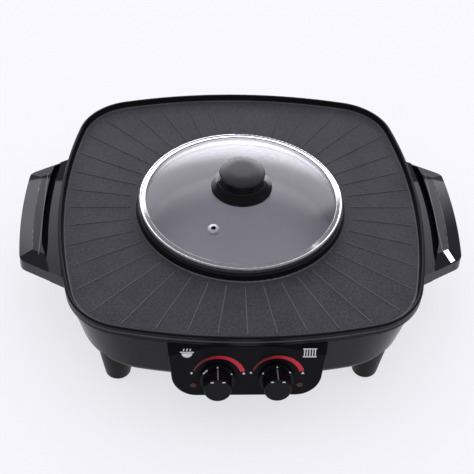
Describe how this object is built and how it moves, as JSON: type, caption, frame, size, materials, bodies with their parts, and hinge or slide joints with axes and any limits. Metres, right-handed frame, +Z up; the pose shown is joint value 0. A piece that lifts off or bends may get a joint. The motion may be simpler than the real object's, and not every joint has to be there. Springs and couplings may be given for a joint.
{
  "type": "electric hot pot with lid",
  "caption": "Square electric grill plate cast round a hot-pot well, with a lift-off glass lid, front thermostat knobs, side handles and feet.",
  "frame": {"origin": "middle of the object's bounding box in plan, on the surface that the feet stand on", "axes": "+Z up, -Y towards the control panel and the cook, +X to the cook's right"},
  "size_m": [0.448, 0.3998, 0.1558],
  "materials": {
    "nonstick_plate": "die-cast aluminium with a dark fine-pebbled non-stick coating",
    "glossy_shell": "glossy black moulded plastic",
    "satin_panel": "satin black moulded plastic",
    "knob_black": "fine matte black moulded plastic",
    "lid_glass": "clear tempered glass",
    "rim_steel": "polished stainless steel",
    "lid_knob_black": "matte black phenolic",
    "seal_rubber": "soft matte silicone",
    "foot_rubber": "matte black rubber",
    "screw_steel": "zinc-plated steel",
    "sheet_steel": "aluminised sheet steel",
    "tube_steel": "heat-darkened nickel steel tube",
    "ceramic": "white steatite ceramic",
    "switch_body": "grey-brown moulded resin",
    "lamp_red": "dark red clear lens",
    "brass": "plain brass"
  },
  "bodies": {
    "base": {"grill_plate": "nonstick_plate", "housing": "glossy_shell", "handle_left": "glossy_shell", "handle_right": "glossy_shell", "control_panel": "satin_panel", "foot_front_left": "glossy_shell", "foot_front_right": "glossy_shell", "foot_rear_left": "glossy_shell", "foot_rear_right": "glossy_shell", "foot_pad_front_left": "foot_rubber", "foot_pad_front_right": "foot_rubber", "foot_pad_rear_left": "foot_rubber", "foot_pad_rear_right": "foot_rubber", "cover_screws": "screw_steel", "plate_screws": "screw_steel", "foot_screws": "screw_steel", "handle_screws": "screw_steel", "inlet_screws": "screw_steel", "clamp_screws": "screw_steel", "cutout_screws": "screw_steel", "thermostat_nut_left": "screw_steel", "thermostat_nut_right": "screw_steel", "bottom_cover": "sheet_steel", "heat_shield": "sheet_steel", "heater_clamps": "sheet_steel", "cutout_bracket": "sheet_steel", "grill_heater": "tube_steel", "pot_heater": "tube_steel", "terminal_block": "ceramic", "thermostat_left": "switch_body", "thermostat_right": "switch_body", "overheat_cutout": "switch_body", "lamp_holder_left": "switch_body", "lamp_holder_right": "switch_body", "indicator_lens_left": "lamp_red", "indicator_lens_right": "lamp_red", "power_inlet": "satin_panel", "inlet_pins": "brass"},
    "lid": {"lid_glass": "lid_glass", "lid_rim": "rim_steel", "lid_vent_eyelet": "rim_steel", "lid_knob_base": "lid_knob_black", "lid_knob_cap": "lid_knob_black", "lid_knob_seal": "seal_rubber", "lid_knob_washer": "seal_rubber", "lid_knob_screw": "screw_steel"},
    "knob_left": {"knob_left": "knob_black", "knob_shaft_left": "screw_steel"},
    "knob_right": {"knob_right": "knob_black", "knob_shaft_right": "screw_steel"}
  },
  "joints": [
    {"name": "lid_lift", "type": "slide", "parent": "base", "child": "lid", "axis": [0, 0, 1], "range_m": [0, 0.12]},
    {"name": "knob_left_turn", "type": "hinge", "parent": "base", "child": "knob_left", "pos_m": [-0.0277, -0.17843, 0.0623], "axis": [0, -0.9816, 0.1908], "range_deg": [-75, 75]},
    {"name": "knob_right_turn", "type": "hinge", "parent": "base", "child": "knob_right", "pos_m": [0.0277, -0.17843, 0.0623], "axis": [0, -0.9816, 0.1908], "range_deg": [-75, 75]}
  ]
}
